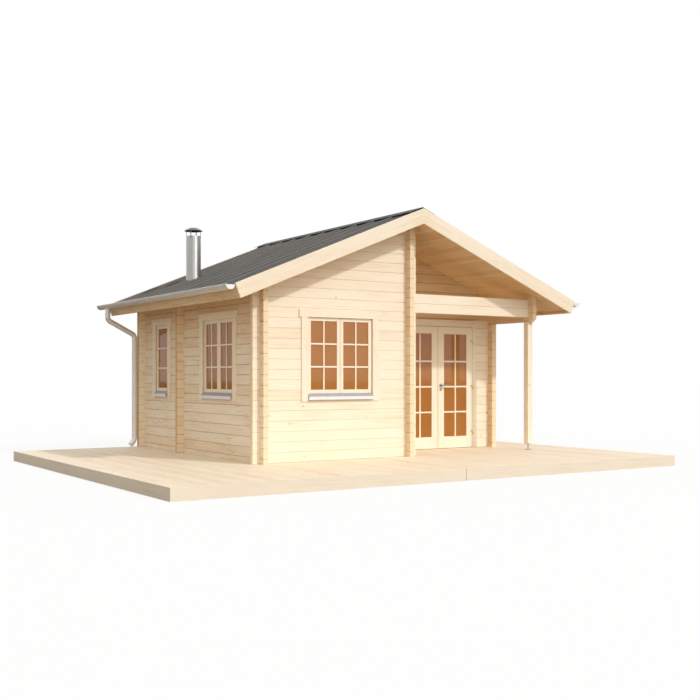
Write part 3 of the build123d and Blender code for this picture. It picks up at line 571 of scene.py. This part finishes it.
pipes = []
for side, gutter_x, corner in (
    (-1, pipe_low.x + PIPE_RADIUS, cabin_left),
    (1, pipe_high.x - PIPE_RADIUS, cabin_right),
):
    wall_x = corner + side * 0.150
    run = (
        (gutter_x, pipe_high.z - 0.004),
        (gutter_x, DECK_TOP + 1.985),
        (wall_x, DECK_TOP + 1.759),
        (wall_x, DECK_TOP + 0.103),
        (wall_x + side * 0.066, DECK_TOP + 0.030),
    )
    pipes.append(bent_pipe([Vector((x, pipe_y, z)) for x, z in run]))
    for height in CLIP_HEIGHTS:
        select_none()
        middle = (wall_x, pipe_y, DECK_TOP + height)
        bpy.ops.mesh.primitive_cylinder_add(
            vertices=32, radius=PIPE_RADIUS + 0.003, depth=CLIP, location=middle
        )
        bpy.ops.object.transform_apply()
        bevel_all(0.001, 1)
        pipes.append(bpy.context.object)
        near, far = sorted((wall_x - side * (PIPE_RADIUS + 0.001), wall_x - side * 0.0495))
        low = (near, pipe_y - CLIP / 2, middle[2] - CLIP / 2)
        high = (far, pipe_y + CLIP / 2, middle[2] + CLIP / 2)
        pipes.append(timber("clip_arm", low, high, 0.001, 1))
pipe_pair = joined("bent_downpipes", pipes, rainwater)
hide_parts("downpipes")

# Chimney: a double-walled stainless flue in two lengths, with a rain cap on straps.
steel = Finish("brushed_flue")
brush = steel.noise(steel.point[0] * 60.0, steel.point[1] * 60.0, steel.point[2] * 2.0, 3.0)
smudge = steel.noise(steel.point[0] * 7.0, steel.point[1] * 7.0, steel.point[2] * 5.0, 3.0)
steel.set(
    Base_Color=(brush * 0.6 + smudge * 0.4).mix(linear(168, 168, 166), linear(222, 221, 218)),
    Roughness=smudge * 0.12 + 0.3,
    Metallic=1.0,
    Anisotropic=0.85,
    Anisotropic_Rotation=0.25,
)
steel.on("chimney_pipe")
weathered = Finish("weathered_rain_cap")
soot = weathered.noise(*[value * 14.0 for value in weathered.point], 3.0)
weathered.set(
    Base_Color=soot.mix(linear(108, 109, 112), linear(150, 150, 152)),
    Roughness=soot * 0.2 + 0.3,
    Metallic=1.0,
)
weathered.on("chimney_cap")

# Window casings: planed boards, two uprights and a head with horns at each window.


def upright_then_level(level):
    """Uprights below a level, and a board that lies across above it."""

    def layout(point, facing):
        head = point[2].above(level)
        flat = point[0] + point[1]
        return point[2] * (1 - head) + flat * head, flat * (1 - head) + point[2] * head, flat * 0.0

    return layout


HEAD_BOARD = 0.099
head_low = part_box("window_trims")[1].z - HEAD_BOARD
softwood("window_casings", upright_then_level(head_low), seed=83.0, knots=0.2).on("window_trims")

# Window joinery: a fixed frame behind the casings, with softwood sashes in it. Each sash
# has two stiles through from end to end and two rails between them.
SASH_RECESS = 0.010
GLASS_FACES = (0.022, 0.042)
STILE = 0.056
MEETING_STILE = 0.050
MEETING_GAP = 0.005
MEETING_REBATE = (0.026, 0.058)
RAIL = 0.048
FRAME_LAP = 0.020
WINDOW_FOOT = DECK_TOP + 0.886
WINDOW_HEAD = DECK_TOP + 1.884
JOINERY_EASE = 0.002


class OnFront:
    """Places on the front wall, by distance along it and depth in from its face."""

    def corners(along, up, depth):
        return (along[0], front_y + depth[0], up[0]), (along[1], front_y + depth[1], up[1])


class OnLeft:
    """Places on the left wall, by distance along it and depth in from its face."""

    def corners(along, up, depth):
        return (cabin_left + depth[0], along[0], up[0]), (cabin_left + depth[1], along[1], up[1])


def rod(place, along, up, depth):
    """An upright or a level piece of joinery on a wall."""
    return timber("joinery", *place.corners(along, up, depth), JOINERY_EASE)


def sash_limits(start, end, sashes):
    """Limits of each sash, and of its glass, along the wall."""
    if sashes == 1:
        return [(start, end, start + STILE, end - STILE)]
    middle, gap = (start + end) / 2, MEETING_GAP / 2
    return [
        (start, middle - gap, start + STILE, middle - MEETING_STILE),
        (middle + gap, end, middle + MEETING_STILE, end - STILE),
    ]


WINDOWS = (
    (OnFront, 0.702, 1.718, 2),
    (OnLeft, 0.743, 1.678, 2),
    (OnLeft, 2.929, 3.409, 1),
)
uprights, rails = [], []
sash_depth = (SASH_RECESS, WALL - SASH_RECESS)
frame_depth = (SASH_RECESS, WALL)
for place, start, end, sashes in WINDOWS:
    whole = (WINDOW_FOOT - FRAME_LAP, WINDOW_HEAD + FRAME_LAP)
    uprights.append(rod(place, (start - FRAME_LAP, start), whole, frame_depth))
    uprights.append(rod(place, (end, end + FRAME_LAP), whole, frame_depth))
    if sashes == 2:
        middle, gap = (start + end) / 2, MEETING_GAP / 2
        seen = (WINDOW_FOOT, WINDOW_HEAD)
        uprights.append(rod(place, (middle - gap, middle + gap), seen, MEETING_REBATE))
    rails.append(rod(place, (start, end), (whole[0], WINDOW_FOOT), frame_depth))
    rails.append(rod(place, (start, end), (WINDOW_HEAD, whole[1]), frame_depth))
    for low, high, glass_start, glass_end in sash_limits(start, end, sashes):
        opening = (WINDOW_FOOT, WINDOW_HEAD)
        uprights.append(rod(place, (low, glass_start), opening, sash_depth))
        uprights.append(rod(place, (glass_end, high), opening, sash_depth))
        pane = (glass_start, glass_end)
        rails.append(rod(place, pane, (WINDOW_FOOT, WINDOW_FOOT + RAIL), sash_depth))
        rails.append(rod(place, pane, (WINDOW_HEAD - RAIL, WINDOW_HEAD), sash_depth))


def standing(point, facing):
    """Uprights on any wall."""
    return point[2], point[0] + point[1], point[0] - point[1]


def lying(point, facing):
    """Level pieces on any wall."""
    return point[0] + point[1], point[2], point[0] - point[1]


upright_joinery = softwood("upright_joinery", standing, seed=89.0, tone=-0.06, knots=0.0)
level_joinery = softwood("level_joinery", lying, seed=91.0, tone=-0.06, knots=0.0)
stiles = joined("window_uprights", uprights, upright_joinery)
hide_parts("window_frames")
joined("window_rails", rails, level_joinery)

# Glazing bars: thin softwood bars planted on both faces of the double panes, two across
# each sash and one up its middle, but none up the narrow window.
BAR = 0.021
BAR_DEPTH = 0.010
ROWS = 3


def bar_faces():
    """Depths of the bars outside and inside the glass."""
    outer, inner = GLASS_FACES
    return (outer - BAR_DEPTH, outer), (inner, inner + BAR_DEPTH)


bars_up, bars_across = [], []
for place, start, end, sashes in WINDOWS:
    low, high = WINDOW_FOOT + RAIL, WINDOW_HEAD - RAIL
    for *_, glass_start, glass_end in sash_limits(start, end, sashes):
        middle = (glass_start + glass_end) / 2
        columns = [(glass_start, glass_end)]
        if sashes == 2:
            columns = [(glass_start, middle - BAR / 2), (middle + BAR / 2, glass_end)]
        for depth in bar_faces():
            if sashes == 2:
                bars_up.append(rod(place, (middle - BAR / 2, middle + BAR / 2), (low, high), depth))
            for row in range(1, ROWS):
                level = low + (high - low) * row / ROWS
                for column in columns:
                    span = (level - BAR / 2, level + BAR / 2)
                    bars_across.append(rod(place, column, span, depth))
joined("glazing_bars_upright", bars_up, upright_joinery)
joined("glazing_bars_level", bars_across, level_joinery)

# Sill flashings: folded white sheet between the casings. Its sloped top is painted grey as
# painted shade and reflection, and its lip stays white.
flashing = Finish("sill_flashing")
grime = flashing.noise(
    flashing.point[0] * 9.0, flashing.point[1] * 9.0, flashing.point[2] * 30.0, 3.0
)
# Painted shade and reflection: the sloped top is painted grey, the lip below stays white.
lip_below_painted_grey_top = 1 - flashing.point[2].above(DECK_TOP + 0.845)
flashing.set(
    Base_Color=lip_below_painted_grey_top.mix(
        grime.mix(linear(178, 178, 186), linear(160, 160, 168)), linear(238, 236, 236)
    ),
    Roughness=grime * 0.2 + 0.35,
)
flashing.on("window_sills")

# Double door: two glazed leaves of stiles and rails, with bars on both faces of the
# glass, hung in a rebated frame with casings.
door_frame = softwood("door_frame_wood", standing, seed=97.0, tone=0.0, knots=0.1)
door_frame.on("door_frame")
door_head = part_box("door_trim")[1].z
casing = upright_then_level(door_head - HEAD_BOARD)
softwood("door_casings", casing, seed=101.0, knots=0.1).on("door_trim")
LEAF_STILE = 0.114
LEAF_TOP_RAIL = 0.112
LEAF_BOTTOM_RAIL = 0.177
DOOR_BAR = 0.025
DOOR_BAR_HEIGHTS = (0.562, 0.950, 1.338)
for leaf in ("left", "right"):
    low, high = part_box("door_leaf_" + leaf)
    glass_left, glass_right = low.x + LEAF_STILE, high.x - LEAF_STILE
    foot, head = low.z + LEAF_BOTTOM_RAIL, high.z - LEAF_TOP_RAIL
    layers = (low.y + 0.0005, low.y + 0.0095), (high.y - 0.0095, high.y - 0.0005)
    middle, half = (glass_left + glass_right) / 2, DOOR_BAR / 2
    up = [
        timber("door_stile", low, (glass_left, high.y, high.z), JOINERY_EASE),
        timber("door_stile", (glass_right, low.y, low.z), high, JOINERY_EASE),
    ]
    level = [
        timber("door_rail", (glass_left, low.y, low.z), (glass_right, high.y, foot), JOINERY_EASE),
        timber("door_rail", (glass_left, low.y, head), (glass_right, high.y, high.z), JOINERY_EASE),
    ]
    for front, back in layers:
        bar_foot, bar_head = (middle - half, front, foot), (middle + half, back, head)
        up.append(timber("door_bar", bar_foot, bar_head, JOINERY_EASE))
        for height in DOOR_BAR_HEIGHTS:
            bar_low, bar_high = DECK_TOP + height - half, DECK_TOP + height + half
            for start, end in ((glass_left, middle - half), (middle + half, glass_right)):
                bar_start, bar_end = (start, front, bar_low), (end, back, bar_high)
                level.append(timber("door_bar", bar_start, bar_end, JOINERY_EASE))
    body = leaf + "_leaf"
    uprights = joined(leaf + "_door_uprights", up, upright_joinery, body)
    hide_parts("door_leaf_" + leaf)
    joined(leaf + "_door_rails", level, level_joinery, body)

# Panes: double glazing with a warm tint and a faint smear, set in the sashes and leaves.
# What it mirrors comes from its shader and the studio alone.
glass = Finish("double_glazing")
smear = glass.noise(*[value * 3.0 for value in glass.point], 3.0)
glass.set(
    Base_Color=smear.mix(linear(196, 132, 66), linear(176, 114, 52)),
    Roughness=smear * 0.03 + 0.02,
    Alpha=smear * 0.06 + 0.74,
)
glass.on("window_glass", "door_glass_left", "door_glass_right")

# Ironmongery: satin steel roses and lever handle, and lift-off hinges of yellow
# passivated steel, screwed to the leaves and casings.
satin = Finish("satin_and_passivated_steel")
rub = satin.noise(satin.point[0] * 200.0, satin.point[1] * 30.0, satin.point[2] * 200.0, 2.0)
bloom = satin.noise(satin.point[0] * 60.0, satin.point[1] * 60.0, satin.point[2] * 60.0, 2.0)
door_low, door_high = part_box("door_frame")
is_hinge = (satin.point[0] - (door_low.x + door_high.x) / 2).math("ABSOLUTE").above(0.5)
brushed = rub.mix(linear(150, 148, 146), linear(186, 184, 180))
yellow = bloom.mix(linear(236, 214, 160), linear(220, 192, 136))
satin.set(
    Base_Color=is_hinge.mix(brushed, yellow),
    Roughness=rub * 0.15 + 0.3,
    Metallic=1.0 - is_hinge * 0.7,
)
satin.on("door_hinges", "leaf_fittings_left", "leaf_fittings_right", "door_lever")

# Stage: a white floor and backdrop, a soft key light from the front right, and the camera
# of the photograph.
CAMERA = Vector((-6.0148, -11.3719, 1.2542))
CAMERA_TURN = radians(-32.961)
select_none()
bpy.ops.mesh.primitive_plane_add(size=400, location=(0, 0, -0.001))
ground = bpy.context.object
ground.name = "studio_floor"
paper = Finish("studio_paper")
seen = paper.start.node("LightPath", output="Is Camera Ray")
glow = paper.start.node("Emission", {"Color": (1, 1, 1, 1), "Strength": 1.0})
paper.set(Base_Color=seen.mix((0.16, 0.13, 0.1, 1), (0.9, 0.9, 0.9, 1)), Roughness=0.9)
surface = paper.start.node(
    "MixShader", {0: seen * 0.88, 1: Shade(paper.tree, paper.shader), 2: glow}
)
paper.tree.links.new(surface.socket, paper.tree.nodes["Material Output"].inputs["Surface"])
ground.data.materials.append(paper.material)

world = bpy.data.worlds.new("studio")
bpy.context.scene.world = world
world.use_nodes = True
sky = Shade(world.node_tree)
rays = sky.node("LightPath", output="Is Camera Ray")
plain = rays.math("MAXIMUM", rays.output("Is Glossy Ray")).math(
    "MAXIMUM", rays.output("Is Transmission Ray")
)
backdrop = world.node_tree.nodes["Background"]
tint = plain.mix((1.0, 0.97, 0.92, 1), (1, 1, 1, 1))
world.node_tree.links.new(tint.socket, backdrop.inputs["Color"])
world.node_tree.links.new((plain * 0.32 + 0.68).socket, backdrop.inputs["Strength"])

SUN_AZIMUTH = radians(21)
SUN_HEIGHT = radians(38)
sun = bpy.data.lights.new("key_light", "SUN")
sun.energy = 1.48
sun.angle = radians(3)
sun.color = (1.0, 0.98, 1.0)
key = bpy.data.objects.new("key_light", sun)
toward = Vector(
    (
        sin(SUN_AZIMUTH) * cos(SUN_HEIGHT),
        -cos(SUN_AZIMUTH) * cos(SUN_HEIGHT),
        sin(SUN_HEIGHT),
    )
)
key.rotation_euler = toward.to_track_quat("Z", "Y").to_euler()
bpy.context.scene.collection.objects.link(key)
softbox = bpy.data.lights.new("front_fill", "SUN")
softbox.energy = 0.85
softbox.angle = radians(80)
softbox.color = (1.0, 0.97, 0.92)
fill = bpy.data.objects.new("front_fill", softbox)
fill.rotation_euler = Vector((0.1, -1.0, 0.2)).to_track_quat("Z", "Y").to_euler()
bpy.context.scene.collection.objects.link(fill)

lens = bpy.data.cameras.new("photo_camera")
lens.lens = 52.185
lens.sensor_width = 36
lens.shift_y = 0.03746
lens.clip_end = 200
camera = bpy.data.objects.new("photo_camera", lens)
camera.location = CAMERA
camera.rotation_euler = (pi / 2, 0, CAMERA_TURN)
bpy.context.scene.collection.objects.link(camera)
bpy.context.scene.camera = camera
bpy.context.scene.view_settings.view_transform = "Standard"
